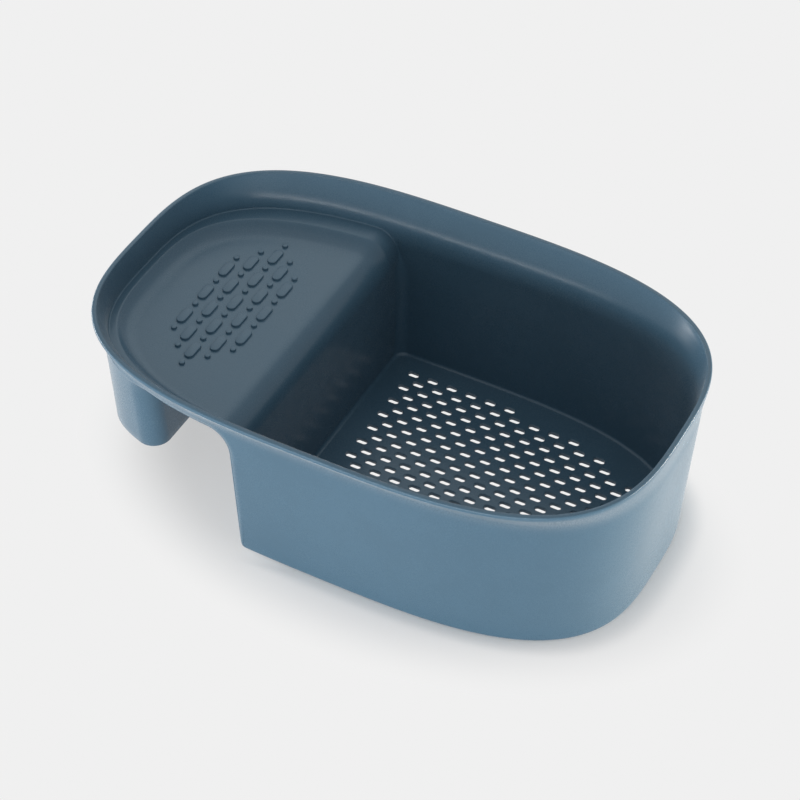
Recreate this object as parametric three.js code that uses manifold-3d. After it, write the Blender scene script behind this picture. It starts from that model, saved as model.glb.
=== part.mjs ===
// Sink drain basket of the saddle type: a deep perforated basket on the right, a shallow grip tray on the
// left, and a hollow leg that hooks over the wall between two sinks. Millimetres, +Z up, +X towards the
// basket's end. The origin is under the middle of the rim, on the plane that the basket stands on.

import * as THREE from 'three';
import { mergeVertices } from 'three/addons/utils/BufferGeometryUtils.js';
import Module from 'manifold-3d';

const wasm = await Module();
wasm.setup();

// Overall size, over the rim
const LENGTH = 297;
const WIDTH = 190;
const HEIGHT = 96;

// Wall and fits
const WALL = 2.4;
const FIT = 0.3;
const WALL_SQUARENESS = 3.12; // exponent of the bowed, rounded-rectangle outline of the wall
const RIM_SQUARENESS = 3; // the same for the rim
const END_DRAFT = 0.06; // lean of the end walls, mm outwards for each mm up
const SIDE_DRAFT = 0.024; // lean of the long walls
const BASE_RADIUS = 1.6; // rounding of the foot edge

// Lip: wide along the long sides as a hand hold, almost nothing at the ends
const LIP_SIDE_REACH = 9.8;
const LIP_END_REACH = 1.4;
const LIP_RISE = 19; // from the start of the bend up to the rim
const LIP_SLOPE = 1.33; // rise of the straight part for each mm outwards, at mid side
const LIP_STRAIGHT = 0.58; // share of the reach that is straight
const LIP_EDGE = 1.8; // height of the upright outer edge
const RIM_LAND = 2.6; // flat top of the rim

// Tray: deck, ledge round it, and the rolled edge that turns down into the divider wall
const DECK_TOP = 74.3;
const LEDGE_STEP = 4.2;
const LEDGE_SIDE_WIDTH = 10.5;
const LEDGE_END_WIDTH = 6.7;
const LEDGE_SLOPE = 10.3; // plan width of the hollow slope from the ledge's edge down to the deck
const LEDGE_UNDERCUT = 0.6; // the slope's underside lies further out by this share of the wall's thickness
const ROLL_RADIUS = 14;
const BASKET_LENGTH = 180.8; // basket floor, from the divider to the far end wall
const DIVIDER_DRAFT = 0.04;

// Grip pattern: lines of capsules and dots in turn, longest in the middle
const GRIP_LINES = 5;
const GRIP_LINE_PITCH = 8.5;
const GRIP_PITCH = 9.95;
const GRIP_LONGEST = 11; // capsules and dots on the middle line
const CAPSULE_LENGTH = 11.2;
const CAPSULE_WIDTH = 5;
const DOT_DIAMETER = 3;
const GRIP_HEIGHT = 0.9;

// Drain floor: staggered slots
const FLOOR = 2.2;
const SLOT_PITCH = 11.28;
const SLOT_ROW_PITCH = 5.64;
const SLOT_LENGTH = 6;
const SLOT_WIDTH = 3;
const SLOT_MARGIN = 15.4; // from the wall to the slots' outer ends

// Hook leg
const SADDLE_GAP = 50;
const LEG_WIDTH = 133.4; // over the cheeks at the foot
const LEG_DROP = 46; // from the deck's underside to the leg's lower edge
const LEG_DRAFT = 0.03; // lean of the face towards the saddle gap
const CHEEK_DRAFT = 0.125; // lean of the cheeks, out to the wall above
const CHEEK_TURN = 0.31; // radians in plan between the length and the cheek's end at the corner
const LEG_CORNER = 9.4;
const LEG_BLEND = 12; // width over which the end wall turns into the leg's cheek

// Facets
const RING_SIDES = 92;
const LIP_STEPS = 3;
const ROLL_STEPS = 7;
const LEDGE_STEPS = 4;
const TRAY_SIDES = 36;
const CORNER_STEPS = 6;
const GRIP_STEPS = 3;

// Heights and places that follow from the sizes above
const lipStart = HEIGHT - LIP_RISE;
const deckUnder = DECK_TOP - WALL;
const ledgeTop = DECK_TOP + LEDGE_STEP;
const ledgeUnder = ledgeTop - WALL;
const wallHalfLength = (z) => LENGTH / 2 - LIP_END_REACH - END_DRAFT * (lipStart - Math.min(z, lipStart));
const wallHalfWidth = (z) => WIDTH / 2 - LIP_SIDE_REACH - SIDE_DRAFT * (lipStart - Math.min(z, lipStart));
const dividerFoot = wallHalfLength(0) - WALL - BASKET_LENGTH;
const dividerFace = (z) => dividerFoot - DIVIDER_DRAFT * z;
const rollHeight = DECK_TOP - ROLL_RADIUS;
const rollStart = dividerFace(rollHeight) - ROLL_RADIUS * Math.hypot(1, DIVIDER_DRAFT);
const legFoot = deckUnder - LEG_DROP;
const legFace = (z) => dividerFace(deckUnder) - WALL - SADDLE_GAP - LEG_DRAFT * (deckUnder - z);
const legHalfWidth = (z) => LEG_WIDTH / 2 + CHEEK_DRAFT * (z - legFoot);

// A point of the bowed outline with the given half sizes, moved inwards square to the outline
function outlinePoint(angle, halfLength, halfWidth, inset = 0, n = WALL_SQUARENESS) {
  const c = Math.cos(angle);
  const s = Math.sin(angle);
  const scale = (Math.abs(c) ** n + Math.abs(s) ** n) ** (-1 / n);
  const point = new THREE.Vector2(halfLength * scale * c, halfWidth * scale * s);
  const normal = new THREE.Vector2(
    (Math.sign(c) * Math.abs(c) ** (n - 1)) / halfLength,
    (Math.sign(s) * Math.abs(s) ** (n - 1)) / halfWidth,
  ).normalize();
  return point.addScaledVector(normal, -inset);
}

const wallPoint = (angle, z, inset) => outlinePoint(angle, wallHalfLength(z), wallHalfWidth(z), inset);
const rimPoint = (angle, inset) => outlinePoint(angle, LENGTH / 2, WIDTH / 2, inset, RIM_SQUARENESS);

// Half width of the space inside the wall at a place along the length, less the fit
function innerHalfWidth(x, z) {
  const a = wallHalfLength(z) - WALL - FIT;
  const b = wallHalfWidth(z) - WALL - FIT;
  return b * Math.max(0, 1 - Math.abs(x / a) ** WALL_SQUARENESS) ** (1 / WALL_SQUARENESS);
}

// Solids from grids of points, and cuts between them

function geometryFrom(points, triangles) {
  const geometry = new THREE.BufferGeometry();
  const numbers = points.flatMap((p) => p.toArray());
  geometry.setAttribute('position', new THREE.Float32BufferAttribute(numbers, 3));
  geometry.setIndex(triangles.flat());
  return geometry;
}

const volumeOf = (points, triangles) =>
  triangles.reduce((sum, [a, b, c]) => {
    const across = new THREE.Vector3().crossVectors(points[b], points[c]);
    return sum + points[a].dot(across);
  }, 0);

function outwards(points, triangles) {
  return volumeOf(points, triangles) < 0 ? triangles.map(([a, b, c]) => [a, c, b]) : triangles;
}

function quads(rows, columns, first, wrap) {
  const triangles = [];
  const at = (i, j) => first + (i % rows) * columns + (j % columns);
  for (let i = 0; i < (wrap ? rows : rows - 1); i += 1) {
    for (let j = 0; j < (wrap ? columns : columns - 1); j += 1) {
      triangles.push([at(i, j), at(i + 1, j), at(i + 1, j + 1)]);
      triangles.push([at(i, j), at(i + 1, j + 1), at(i, j + 1)]);
    }
  }
  return triangles;
}

// A closed ring: each row is one closed section, and the last row joins the first
function ringSolid(rows) {
  const points = rows.flat();
  return geometryFrom(points, outwards(points, quads(rows.length, rows[0].length, 0, true)));
}

// A sheet with thickness: two grids of the same size, joined along their first and last rows and their first
// column. The last column is folded together along the sheet's middle line.
function sheetSolid(top, under) {
  const rows = top.length;
  const columns = top[0].length;
  const points = [...top.flat(), ...under.flat()];
  const size = rows * columns;
  const triangles = quads(rows, columns, 0, false);
  triangles.push(...quads(rows, columns, size, false).map(([a, b, c]) => [a, c, b]));
  const edge = [];
  for (let j = columns - 1; j > 0; j -= 1) edge.push(j);
  for (let i = 0; i < rows; i += 1) edge.push(i * columns);
  for (let j = 1; j < columns; j += 1) edge.push((rows - 1) * columns + j);
  for (let k = 0; k < edge.length - 1; k += 1) {
    const [a, b] = [edge[k], edge[k + 1]];
    triangles.push([b, a, a + size], [b, a + size, b + size]);
  }
  return geometryFrom(points, outwards(points, triangles));
}

function toSolid(geometry) {
  const bare = new THREE.BufferGeometry();
  bare.setAttribute('position', geometry.getAttribute('position'));
  if (geometry.index) bare.setIndex(geometry.index);
  const merged = mergeVertices(bare, 1e-4);
  return new wasm.Manifold(
    new wasm.Mesh({
      numProp: 3,
      vertProperties: new Float32Array(merged.getAttribute('position').array),
      triVerts: new Uint32Array(merged.index.array),
    }),
  );
}

function toGeometry(solid) {
  const mesh = solid.getMesh();
  const geometry = new THREE.BufferGeometry();
  geometry.setAttribute('position', new THREE.BufferAttribute(mesh.vertProperties, 3));
  geometry.setIndex(new THREE.BufferAttribute(mesh.triVerts, 1));
  return geometry;
}

// Tray sheet. Its columns are lines at set distances from the wall, and each line runs up the divider, over
// the roll, round the tray and back down. The ledge's height above the deck fades out down the roll.

// The sheet's section from the divider's foot to the start of the deck: place, face direction and ledge share
function rollPath() {
  const lean = Math.atan(DIVIDER_DRAFT);
  const path = [{ x: dividerFoot, z: 0, lean: 0, share: 0 }];
  for (let k = 0; k <= ROLL_STEPS; k += 1) {
    const turn = k / ROLL_STEPS;
    const angle = lean + (Math.PI / 2 - lean) * turn;
    path.push({
      x: rollStart + ROLL_RADIUS * Math.cos(angle),
      z: rollHeight + ROLL_RADIUS * Math.sin(angle),
      lean: angle,
      share: THREE.MathUtils.smoothstep(turn, 0, 1),
    });
  }
  return path;
}

// The sheet's lines: the wall edge, then the ledge's inner edge and the hollow slope down to the deck, which is
// a quarter of an ellipse, steep at the ledge and level at the deck
const sheetColumns = [{ side: 0, end: 0, share: 1, undercut: 0 }];
for (let k = 0; k <= LEDGE_STEPS; k += 1) {
  const down = (k / LEDGE_STEPS) ** 2;
  const share = 1 - Math.sqrt(1 - (1 - down) ** 2);
  const side = LEDGE_SIDE_WIDTH + LEDGE_SLOPE * down;
  sheetColumns.push({ side, end: LEDGE_END_WIDTH + LEDGE_SLOPE * down, share, undercut: LEDGE_UNDERCUT });
}
const middleColumn = { side: null, share: 0, undercut: 0 };

// One face of the sheet, sunk below the tray's top face by the given depth square to it
function sheetFace(depth) {
  const path = rollPath();
  const placeOnPath = (station, share) => {
    const lift = station.share * share * LEDGE_STEP - depth;
    return [station.x + lift * Math.cos(station.lean), station.z + lift * Math.sin(station.lean)];
  };
  const side = (column, sign) =>
    path.map((station) => {
      const [x, z] = placeOnPath(station, column.share);
      const y = column.side === null ? 0 : innerHalfWidth(x, z) - column.side + column.undercut * depth;
      return new THREE.Vector3(x, sign * y, z);
    });
  const around = (column) => {
    const z = DECK_TOP + column.share * LEDGE_STEP - depth;
    const shift = column.undercut * depth;
    const a = wallHalfLength(z) - WALL - FIT - column.end + shift;
    const b = wallHalfWidth(z) - WALL - FIT - column.side + shift;
    const sideY = innerHalfWidth(rollStart, z) - column.side + shift;
    const limit = Math.atan2(sideY / b, -rollStart / a);
    const points = [];
    for (let k = 1; k < TRAY_SIDES; k += 1) {
      const plan = outlinePoint(limit * (1 - (2 * k) / TRAY_SIDES), a, b);
      points.push(new THREE.Vector3(-plan.x, -plan.y, z));
    }
    return points;
  };
  const spineEnd = -(wallHalfLength(DECK_TOP) - WALL - wallHalfWidth(DECK_TOP));
  const spine = () => {
    const points = [];
    for (let k = 1; k < TRAY_SIDES; k += 1) {
      const share = 1 - Math.abs(1 - (2 * k) / TRAY_SIDES);
      const x = THREE.MathUtils.lerp(rollStart, Math.min(spineEnd, rollStart - ROLL_RADIUS), share);
      points.push(new THREE.Vector3(x, 0, DECK_TOP - depth));
    }
    return points;
  };
  const lines = sheetColumns.map((column) => [
    ...side(column, -1),
    ...around(column),
    ...side(column, 1).reverse(),
  ]);
  const middle = side(middleColumn, 1);
  lines.push([...middle, ...spine(), ...middle.slice().reverse()]);
  return lines[0].map((point, i) => lines.map((line) => line[i]));
}

// A raised grip, sunk into the deck by its own height: a stadium, or a dot where its length is its width
function gripGeometry(length, width, x, y) {
  const straight = (length - width) / 2;
  const shape = new THREE.Shape();
  shape.absarc(0, straight, width / 2, 0, Math.PI, false);
  shape.absarc(0, -straight, width / 2, Math.PI, 2 * Math.PI, false);
  const geometry = new THREE.ExtrudeGeometry(shape, {
    depth: 2 * GRIP_HEIGHT,
    curveSegments: GRIP_STEPS,
    bevelEnabled: false,
  });
  return geometry.translate(x, y, DECK_TOP - GRIP_HEIGHT);
}

function gripSolids() {
  const recessEnd = -(wallHalfLength(DECK_TOP) - WALL - LEDGE_END_WIDTH - LEDGE_SLOPE);
  const centre = (recessEnd + rollStart) / 2;
  const outer = (GRIP_LINES - 1) / 2;
  const solids = [];
  for (let line = -outer; line <= outer; line += 1) {
    const reach = (GRIP_LONGEST - 1) / 2 - Math.abs(line);
    for (let step = -reach; step <= reach; step += 1) {
      const isDot = Math.abs(step + line) % 2 === 1;
      const length = isDot ? DOT_DIAMETER : CAPSULE_LENGTH;
      const width = isDot ? DOT_DIAMETER : CAPSULE_WIDTH;
      const x = centre + line * GRIP_LINE_PITCH;
      solids.push(toSolid(gripGeometry(length, width, x, step * GRIP_PITCH)));
    }
  }
  return solids;
}

function saddleTray() {
  let solid = toSolid(sheetSolid(sheetFace(0), sheetFace(WALL)));
  for (const grip of gripSolids()) solid = solid.add(grip);
  return toGeometry(solid);
}

// Outer shell: one wall section carried round the outline, then cut away under the tray

function shellSection(angle) {
  const section = [];
  const add = (plan, z) => section.push(new THREE.Vector3(plan.x, plan.y, z));
  const lip = (t, start, top, wallInset, rimInset) => {
    const bendMiddle = top - LIP_SLOPE * LIP_SIDE_REACH;
    const bendEnd = top - LIP_SLOPE * LIP_SIDE_REACH * LIP_STRAIGHT;
    const z = (1 - t) ** 2 * start + 2 * t * (1 - t) * bendMiddle + t * t * bendEnd;
    const out = (1 - LIP_STRAIGHT) * t * t;
    add(wallPoint(angle, lipStart, wallInset).lerp(rimPoint(angle, rimInset), out), z);
  };
  add(wallPoint(angle, 0, BASE_RADIUS), 0);
  add(wallPoint(angle, BASE_RADIUS, 0), BASE_RADIUS);
  for (let k = 0; k <= LIP_STEPS; k += 1) lip(k / LIP_STEPS, lipStart, HEIGHT - LIP_EDGE, 0, 0);
  add(rimPoint(angle, 0), HEIGHT - LIP_EDGE);
  add(rimPoint(angle, 0), HEIGHT);
  add(rimPoint(angle, RIM_LAND), HEIGHT);
  for (let k = LIP_STEPS; k >= 0; k -= 1) lip(k / LIP_STEPS, lipStart + LIP_EDGE, HEIGHT, WALL, RIM_LAND);
  add(wallPoint(angle, 0, WALL), 0);
  return section;
}

// The saddle's section: everything under the tray's outer edge, from the leg's end to the divider
function saddleCutter() {
  const edge = rollPath().map((station) => {
    const lift = station.share * LEDGE_STEP - WALL;
    const x = station.x + lift * Math.cos(station.lean);
    return new THREE.Vector2(x, station.z + lift * Math.sin(station.lean));
  });
  const foot = edge[0];
  const shape = new THREE.Shape([
    new THREE.Vector2(-LENGTH, -HEIGHT),
    new THREE.Vector2(foot.x, -HEIGHT),
    ...edge,
    new THREE.Vector2(-LENGTH, ledgeUnder),
  ]);
  const geometry = new THREE.ExtrudeGeometry(shape, { depth: 2 * WIDTH, bevelEnabled: false });
  return geometry.rotateX(Math.PI / 2).translate(0, WIDTH, 0);
}

function outerShell() {
  const rows = [];
  for (let k = 0; k < RING_SIDES; k += 1) rows.push(shellSection((2 * Math.PI * k) / RING_SIDES));
  return toGeometry(toSolid(ringSolid(rows)).subtract(toSolid(saddleCutter())));
}

// Drain plate: the floor inside the wall, from the divider to the far end

function slotCentres() {
  const a = wallHalfLength(0) - WALL - SLOT_MARGIN;
  const b = wallHalfWidth(0) - WALL - SLOT_MARGIN;
  const n = WALL_SQUARENESS;
  const inField = (x, y) => Math.abs(x / a) ** n + Math.abs(y / b) ** n < 1;
  const rows = Math.floor(b / SLOT_ROW_PITCH + 0.5);
  const centres = [];
  for (let row = -rows; row < rows; row += 1) {
    const y = (row + 0.5) * SLOT_ROW_PITCH;
    const shift = row % 2 === 0 ? SLOT_PITCH / 2 : 0;
    let x = dividerFoot + SLOT_MARGIN + shift;
    while (inField(x + SLOT_LENGTH / 2, y)) {
      centres.push(new THREE.Vector2(x, y));
      x += SLOT_PITCH;
    }
  }
  return centres;
}

function slotShape(centre) {
  const end = SLOT_LENGTH / 2;
  const shoulder = end - SLOT_WIDTH / 2;
  const half = SLOT_WIDTH / 2;
  const below = [[-end, 0], [-shoulder, -half], [shoulder, -half]];
  const corners = [...below, ...below.map(([x, y]) => [-x, -y])];
  return new THREE.Shape(corners.map(([x, y]) => new THREE.Vector2(centre.x + x, centre.y + y)));
}

function drainPlate() {
  const a = wallHalfLength(0) - WALL - FIT;
  const b = wallHalfWidth(0) - WALL - FIT;
  const left = dividerFoot + FIT;
  const limit = Math.atan2(innerHalfWidth(left, 0) / b, left / a);
  const sides = Math.round(RING_SIDES * (limit / Math.PI));
  const outline = [];
  for (let k = 0; k <= sides; k += 1) outline.push(outlinePoint(limit * ((2 * k) / sides - 1), a, b));
  const plate = new THREE.ExtrudeGeometry(new THREE.Shape(outline), { depth: FLOOR, bevelEnabled: false });
  const slotShapes = slotCentres().map(slotShape);
  const slots = new THREE.ExtrudeGeometry(slotShapes, { depth: 3 * FLOOR, bevelEnabled: false });
  return toGeometry(toSolid(plate).subtract(toSolid(slots.translate(0, 0, -FLOOR))));
}

// Hook leg: the end wall's curve, turned into two cheeks and a flat face towards the saddle gap

function legLoop(z, inset) {
  const face = legFace(z) - inset;
  const half = legHalfWidth(z) - inset;
  const corner = LEG_CORNER - inset;
  const a = wallHalfLength(z) - inset;
  const b = wallHalfWidth(z) - inset;
  const leaveY = half - LEG_BLEND;
  const leaveX = a * (1 - (leaveY / b) ** WALL_SQUARENESS) ** (1 / WALL_SQUARENESS);
  const leave = Math.atan2(leaveY / b, leaveX / a);
  const points = [];
  const arcSides = 2 * CORNER_STEPS;
  for (let k = 0; k <= arcSides; k += 1) {
    const plan = outlinePoint(leave * (1 - (2 * k) / arcSides), a, b);
    points.push(new THREE.Vector2(-plan.x, plan.y));
  }
  const tangent = new THREE.Vector2().subVectors(points[arcSides], points[arcSides - 1]).normalize();
  const start = points[arcSides];
  const centre = new THREE.Vector2(face - corner, corner - half);
  const cornerPoint = (turn) =>
    new THREE.Vector2(Math.cos(turn), Math.sin(turn)).multiplyScalar(corner).add(centre);
  const sweep = Math.PI / 2 + CHEEK_TURN;
  const end = cornerPoint(-sweep);
  const slant = new THREE.Vector2(Math.cos(CHEEK_TURN), -Math.sin(CHEEK_TURN));
  const pull = start.distanceTo(end) / 3;
  const blend = new THREE.CubicBezierCurve(
    start,
    start.clone().addScaledVector(tangent, pull),
    end.clone().addScaledVector(slant, -pull),
    end,
  );
  const cheek = blend.getPoints(CORNER_STEPS).slice(1);
  for (let k = 1; k <= CORNER_STEPS; k += 1) cheek.push(cornerPoint(sweep * (k / CORNER_STEPS - 1)));
  points.push(...cheek, ...cheek.map((p) => new THREE.Vector2(p.x, -p.y)).reverse());
  return points.map((p) => new THREE.Vector3(p.x, p.y, z));
}

// The hollow under the tray's recess, which the leg's upper edge stays out of
function recessCutter() {
  const shift = LEDGE_UNDERCUT * WALL + FIT;
  const a = wallHalfLength(DECK_TOP) - WALL - LEDGE_END_WIDTH + shift;
  const b = wallHalfWidth(DECK_TOP) - WALL - LEDGE_SIDE_WIDTH + shift;
  const outline = [];
  for (let k = 0; k < RING_SIDES; k += 1) outline.push(outlinePoint((2 * Math.PI * k) / RING_SIDES, a, b));
  const depth = LEDGE_STEP + WALL;
  const geometry = new THREE.ExtrudeGeometry(new THREE.Shape(outline), { depth, bevelEnabled: false });
  return geometry.translate(0, 0, deckUnder - FIT);
}

function hookLeg() {
  const top = ledgeUnder - FIT;
  const sections = [legLoop(legFoot, 0), legLoop(top, 0), legLoop(top, WALL), legLoop(legFoot, WALL)];
  const rows = sections[0].map((point, i) => sections.map((section) => section[i]));
  return toGeometry(toSolid(ringSolid(rows)).subtract(toSolid(recessCutter())));
}

// The assembly

const PLASTIC = { roughness: 0.5, metalness: 0 };

function piece(name, geometry, color) {
  const mesh = new THREE.Mesh(geometry, new THREE.MeshStandardMaterial({ ...PLASTIC, color }));
  mesh.name = name;
  return mesh;
}

const basket = new THREE.Group();
basket.add(
  piece('outer_shell', outerShell(), 0x5c7a8c),
  piece('saddle_tray', saddleTray(), 0x587688),
  piece('drain_plate', drainPlate(), 0x546f80),
  piece('hook_leg', hookLeg(), 0x5c7a8c),
);

export default basket;
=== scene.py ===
"""Looks of the sink drain basket: a satin dusk-blue moulding on a pale studio floor.

Lengths are in millimetres until a mesh is made, which turns them into metres. +X runs along the
length towards the basket's end, +Z up. An angle of 0 is the basket's end, a half turn the leg's end.
"""
import math

import bmesh
import bpy
import numpy as np
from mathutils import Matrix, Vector
from mathutils.geometry import delaunay_2d_cdt


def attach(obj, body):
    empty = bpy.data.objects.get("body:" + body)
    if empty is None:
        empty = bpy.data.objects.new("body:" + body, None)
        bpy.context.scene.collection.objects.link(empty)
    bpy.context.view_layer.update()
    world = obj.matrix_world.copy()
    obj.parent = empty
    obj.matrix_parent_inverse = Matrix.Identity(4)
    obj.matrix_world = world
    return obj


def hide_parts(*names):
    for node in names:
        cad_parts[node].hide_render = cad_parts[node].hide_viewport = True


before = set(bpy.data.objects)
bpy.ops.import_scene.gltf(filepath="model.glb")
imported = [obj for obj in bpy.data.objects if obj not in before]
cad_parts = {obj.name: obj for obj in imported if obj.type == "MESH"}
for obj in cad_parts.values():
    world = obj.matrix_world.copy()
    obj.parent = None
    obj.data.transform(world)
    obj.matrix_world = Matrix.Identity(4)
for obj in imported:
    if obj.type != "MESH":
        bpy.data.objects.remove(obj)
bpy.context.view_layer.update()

# ---- sizes -----------------------------------------------------------------------------------
# Most are the part's own. The ledge's plan, the grips, the plate and the rounds are set to the photo.
WALL = 2.4                               # thickness of every sheet
WALL_LENGTH, WALL_WIDTH = 147.1, 85.2    # half sizes of the wall's outline where the lip starts
END_DRAFT, SIDE_DRAFT = 0.06, 0.024      # lean of the end walls and of the long walls
RIM_LENGTH, RIM_WIDTH = 148.5, 95.0      # half sizes of the rim
WALL_SQUARENESS, RIM_SQUARENESS = 3.12, 3.1
LIP_START, RIM_TOP = 77.0, 96.0          # heights of the lip's bend and of the rim
RIM_EDGE, RIM_LAND = 1.8, 2.6            # drop of the rim's outer edge, and the rim's breadth
LIP_STRAIGHT = 7.56                      # height of the straight part of the lip
DECK_TOP, LEDGE_STEP = 74.3, 4.2         # height of the deck, and of the ledge above it
LEDGE_SIDE, LEDGE_END = 10.5, 4.0        # width of the ledge at the back and at the leg's end
LEDGE_FRONT, FRONT_SLOPE = 3.5, 0.5      # the narrower ledge in front, and the share its slope keeps
LEDGE_SLOPE, LEDGE_UNDERCUT = 12.0, 1.44    # width of the slope to the deck, its shift below
ROLL_RADIUS, ROLL_X = 14.0, -57.14       # the tray's rolled edge
DIVIDER_FOOT, DIVIDER_DRAFT = -40.72, 0.04
FLOOR, PLATE = 2.2, 1.8                  # height of the floor's top, thickness between the slots
SLOT_PITCH, SLOT_ROW, SLOT_LENGTH, SLOT_WIDTH, SLOT_MARGIN = 11.28, 5.64, 6.0, 3.0, 15.4
GRIP_X, GRIP_LINE_PITCH, GRIP_PITCH, GRIP_HEIGHT = -92.34, 8.5, 9.95, 1.1
CAPSULE_LENGTH, CAPSULE_WIDTH, DOT_WIDTH = 11.2, 5.0, 3.0
LEG_FOOT, LEG_HALF, LEG_DRAFT, LEG_FACE = 25.9, 66.7, 0.03, -96.0
CHEEK_DRAFT, CHEEK_TURN = 0.125, 0.31    # lean of the leg's cheeks, their turn in plan at the corner
LEG_CORNER, LEG_BLEND = 9.4, 12.0
LOWER_CORNER = 3.0                       # round of the basket's lower edge beside the saddle gap
CORNER_ROUND, LEDGE_ROUND = 6.0, 0.6     # hollow rounds from the divider and the ledge to the wall
FLOOR_ROUND = 1.8                        # hollow round between floor and wall
FLOOR_BANK, BANK_HEIGHT = 3.5, 50.0      # how far the sides lean in to the floor, over what height
BURIED = 1.2                             # how far the sheets run into the wall beside them
SUNK = 0.5                               # how far the hollow rounds run into what they lie on

DECK_UNDER = DECK_TOP - WALL
LEDGE_UNDER = DECK_UNDER + LEDGE_STEP
ROLL_Z = DECK_TOP - ROLL_RADIUS
EDGE_X = DIVIDER_FOOT - WALL             # the divider's outer face at the floor
QUARTER = np.pi / 2
MIRROR = np.array([1.0, -1.0, 1.0])      # turns the back side into the front side
METRES = 0.001                           # one millimetre
WELD, SLIVER = 2e-6, 1e-7                # metres: points that become one, edges that count as nothing
SOFT_CREASE = 60.0                       # degrees: turn above which a hollow round's edge is hard


# ---- shapes ----------------------------------------------------------------------------------
def smooth(x):
    """Soft step: 0 below 0, 1 above 1, 3x^2 - 2x^3 between."""
    x = np.clip(x, 0.0, 1.0)
    return x * x * (3.0 - 2.0 * x)


def quarter_turn(count):
    """Even angles from 0 to a quarter turn."""
    return np.linspace(0.0, QUARTER, count)


def outline(angle, length, width, squareness, inset=0.0):
    """Squared oval |x/length|^n + |y/width|^n = 1 at an angle, moved in along its normal."""
    c, s = np.cos(angle), np.sin(angle)
    n = squareness
    reach = (np.abs(c) ** n + np.abs(s) ** n) ** (-1.0 / n)
    nx = np.sign(c) * np.abs(c) ** (n - 1.0) / length
    ny = np.sign(s) * np.abs(s) ** (n - 1.0) / width
    size = np.hypot(nx, ny)
    return length * reach * c - inset * nx / size, width * reach * s - inset * ny / size


def wall_half_sizes(z):
    """Half length and half width of the wall, which leans out with height up to the lip."""
    below = LIP_START - np.minimum(z, LIP_START)
    return WALL_LENGTH - END_DRAFT * below, WALL_WIDTH - SIDE_DRAFT * below


def across(x, length):
    """Share of the half width that a squared oval has at x: (1 - |x/length|^n)^(1/n)."""
    return (1.0 - np.clip(np.abs(x / length), 0.0, 1.0) ** WALL_SQUARENESS) ** (1.0 / WALL_SQUARENESS)


def oval_angle(x, length):
    """Angle at which a squared oval of the given half length passes x, on the back side."""
    return np.arctan2(across(x, length), x / length)


def wall_angle(x, z):
    """Angle at which the wall's outline passes x at a height, on the back side."""
    return oval_angle(x, wall_half_sizes(z)[0])


def inner_half_width(x, z):
    """Half width of the space inside the wall at x and a height."""
    length, width = wall_half_sizes(z)
    return (width - WALL) * across(x, length - WALL)


def wall_point(angle, z, depth):
    """Point of the wall and lip at an angle and height; depth 0 is the outside and 1 the inside.

    The outline goes over from the wall's oval to the rim's by a share that grows with the square
    of the height above the bend and then evenly up to the rim.
    """
    start, top = LIP_START + RIM_EDGE * depth, RIM_TOP - RIM_EDGE * (1.0 - depth)
    bend = top - LIP_STRAIGHT - start
    up = np.clip(z - start, 0.0, None)
    curve = np.minimum(up, bend)
    share = (curve ** 2 + 2.0 * bend * (up - curve)) / (bend ** 2 + 2.0 * bend * LIP_STRAIGHT)
    length, width = wall_half_sizes(z)
    wx, wy = outline(angle, length, width, WALL_SQUARENESS, WALL * depth)
    rx, ry = outline(angle, RIM_LENGTH, RIM_WIDTH, RIM_SQUARENESS, RIM_LAND * depth)
    return np.stack([wx + (rx - wx) * share, wy + (ry - wy) * share, z + 0.0 * angle], axis=-1)


def grid_faces(rows, columns, wrap_rows=False, wrap_columns=False, first=0):
    """Four-sided faces of a grid of rows x columns points, joined end to end where it wraps."""
    r0, c0 = np.meshgrid(np.arange(rows - (not wrap_rows)), np.arange(columns - (not wrap_columns)),
                         indexing="ij")
    r1, c1 = (r0 + 1) % rows, (c0 + 1) % columns
    corners = [r0 * columns + c0, r0 * columns + c1, r1 * columns + c1, r1 * columns + c0]
    return (np.stack(corners, -1).reshape(-1, 4) + first).tolist()


def make_piece(name, points, faces, crease=35.0):
    """Piece from points in millimetres and faces: welded, faced outwards, hard at sharp turns."""
    mesh = bpy.data.meshes.new(name)
    mesh.from_pydata((np.reshape(points, (-1, 3)) * METRES).tolist(), [], faces)
    work = bmesh.new()
    work.from_mesh(mesh)
    bmesh.ops.remove_doubles(work, verts=work.verts, dist=WELD)
    bmesh.ops.dissolve_degenerate(work, edges=work.edges, dist=SLIVER)
    bmesh.ops.recalc_face_normals(work, faces=work.faces)
    work.to_mesh(mesh)
    work.free()
    mesh.polygons.foreach_set("use_smooth", np.ones(len(mesh.polygons), bool))
    mesh.set_sharp_from_angle(angle=math.radians(crease))
    piece = bpy.data.objects.new(name, mesh)
    bpy.context.scene.collection.objects.link(piece)
    return piece


def ring_piece(name, grid, **finish):
    """Piece from a grid of points that closes on itself both ways."""
    faces = grid_faces(*grid.shape[:2], wrap_rows=True, wrap_columns=True)
    return make_piece(name, grid, faces, **finish)


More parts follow.
